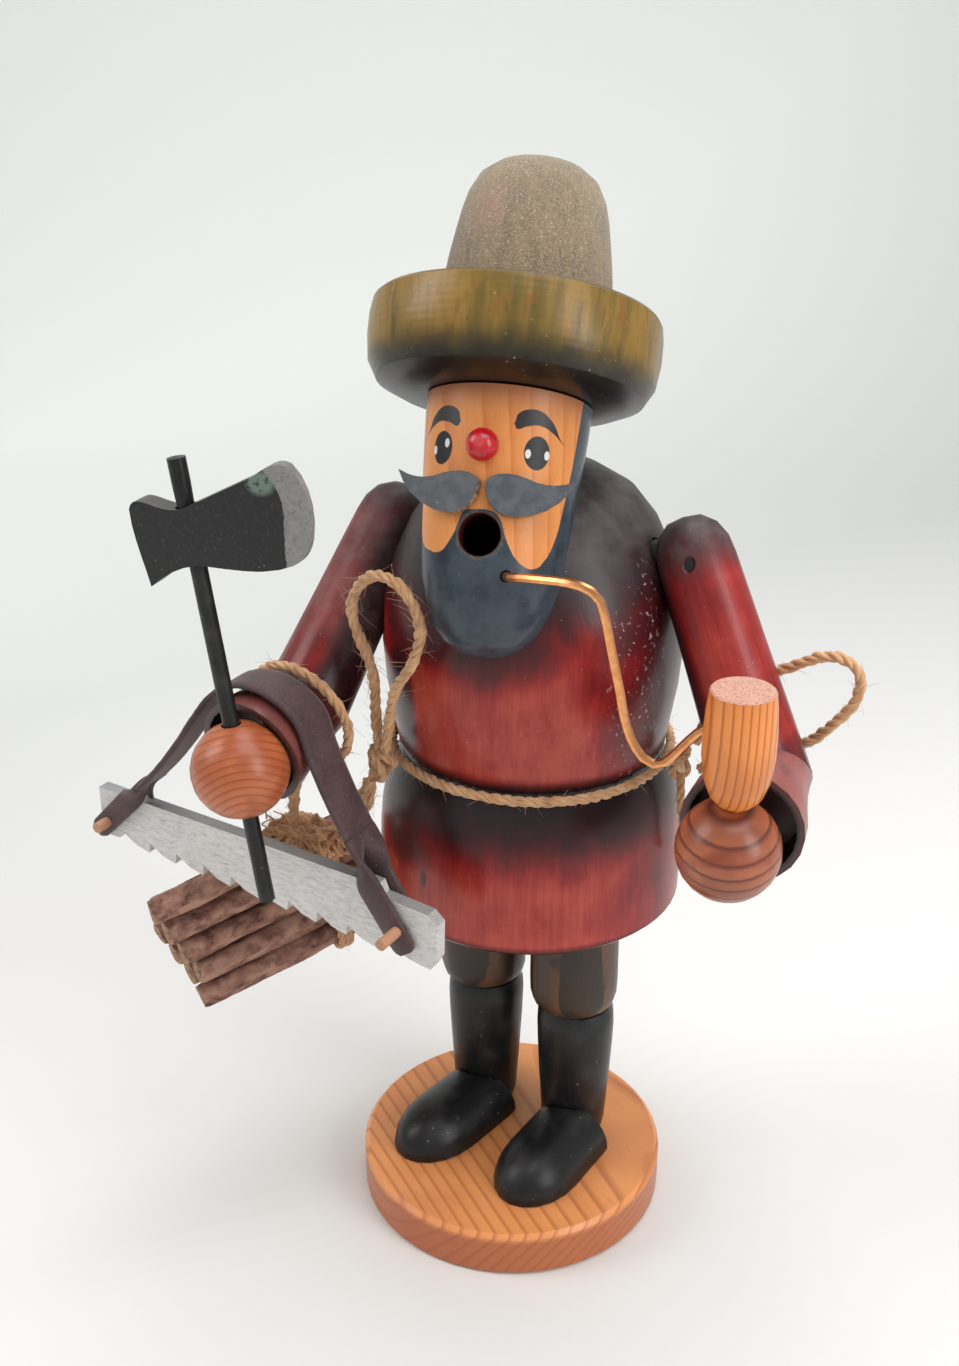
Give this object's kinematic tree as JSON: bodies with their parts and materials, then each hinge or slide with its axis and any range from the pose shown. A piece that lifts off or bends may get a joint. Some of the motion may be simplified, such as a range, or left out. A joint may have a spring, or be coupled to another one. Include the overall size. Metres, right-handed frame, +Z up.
{
  "type": "incense smoker figurine",
  "caption": "Turned wooden woodcutter smoker with axe, strap-hung saw, stick bundle and wire-stemmed pipe; the upper body lifts off the lower body.",
  "frame": {"origin": "centre of the base disc's underside, on the table", "axes": "+Z up, the figure faces -Y, its left hand is on +X"},
  "size_m": [0.1559, 0.102, 0.2331],
  "materials": {
    "varnished_pine": "clear satin varnish over pine",
    "bare_wood": "raw turned dowel",
    "black_lacquer": "black lacquer, satin, grain telegraphs",
    "olive_stain": "dark olive-brown stain, satin",
    "red_lacquer": "dark red stain and clear lacquer, darker at the edges",
    "dull_red_lacquer": "dull dark red, dusty, black inside the cuff",
    "tin": "thin tinned sheet",
    "painted_face": "clear-lacquered wood with painted eyes, brows and blue-grey beard",
    "cherry_gloss": "glossy red paint",
    "blue_grey_paint": "blue-grey paint, satin",
    "hat_green": "olive-green stain, satin, nearly black underneath",
    "hat_crown_dusty": "brown-olive stain under dust, matt",
    "copper_wire": "bright drawn copper wire",
    "axe_black": "black lacquer with silver-painted cutting edge",
    "saw_silver": "silver paint on thin plywood, satin",
    "leather_strap": "thin dark brown leather, matt",
    "bark": "dried twigs with bark, matt",
    "jute_twine": "twisted jute twine, hairy"
  },
  "bodies": {
    "stand": {"base_disc": "varnished_pine", "boot_right": "black_lacquer", "boot_left": "black_lacquer", "shoe_right": "black_lacquer", "shoe_left": "black_lacquer", "trouser_right": "olive_stain", "trouser_left": "olive_stain", "lower_body": "red_lacquer", "incense_plate": "tin"},
    "upper": {"upper_body": "red_lacquer", "head": "painted_face", "nose": "cherry_gloss", "moustache_right": "blue_grey_paint", "moustache_left": "blue_grey_paint", "hat_brim": "hat_green", "hat_crown": "hat_crown_dusty", "hat_dowel": "bare_wood", "upper_arm_right": "red_lacquer", "upper_arm_left": "red_lacquer", "shoulder_dowel_right": "bare_wood", "shoulder_dowel_left": "bare_wood", "forearm_right": "dull_red_lacquer", "forearm_left": "dull_red_lacquer", "wrist_dowel_right": "bare_wood", "wrist_dowel_left": "bare_wood", "hand_right": "varnished_pine", "hand_left": "varnished_pine", "pipe_bowl": "varnished_pine", "pipe_stem": "copper_wire", "axe_handle": "black_lacquer", "axe_head": "axe_black", "belt_twine": "jute_twine", "belt_knot": "jute_twine", "bow_twine": "jute_twine", "arm_loop_twine": "jute_twine", "link_twine": "jute_twine", "hip_knot": "jute_twine", "rear_loop_twine": "jute_twine"},
    "saw": {"saw_blade": "saw_silver", "saw_strap": "leather_strap", "strap_peg_inner": "bare_wood", "strap_peg_outer": "bare_wood"},
    "firewood": {"firewood_stick_1": "bark", "firewood_stick_2": "bark", "firewood_stick_3": "bark", "firewood_stick_4": "bark", "firewood_stick_5": "bark", "firewood_stick_6": "bark", "firewood_stick_7": "bark", "firewood_stick_8": "bark", "firewood_stick_9": "bark", "bundle_wrap": "jute_twine", "bundle_lashing": "jute_twine"}
  },
  "joints": [
    {"name": "lift_off", "type": "slide", "parent": "stand", "child": "upper", "axis": [0, 0, 1], "range_m": [0, 0.045]},
    {"name": "saw_swing", "type": "hinge", "parent": "upper", "child": "saw", "pos_m": [-0.03998, -0.0372, 0.122], "axis": [0, 1, 0], "range_deg": [-5, 5]},
    {"name": "firewood_swing", "type": "hinge", "parent": "upper", "child": "firewood", "pos_m": [-0.05314, -0.01922, 0.118], "axis": [0, 1, 0], "range_deg": [-2, 4]}
  ]
}
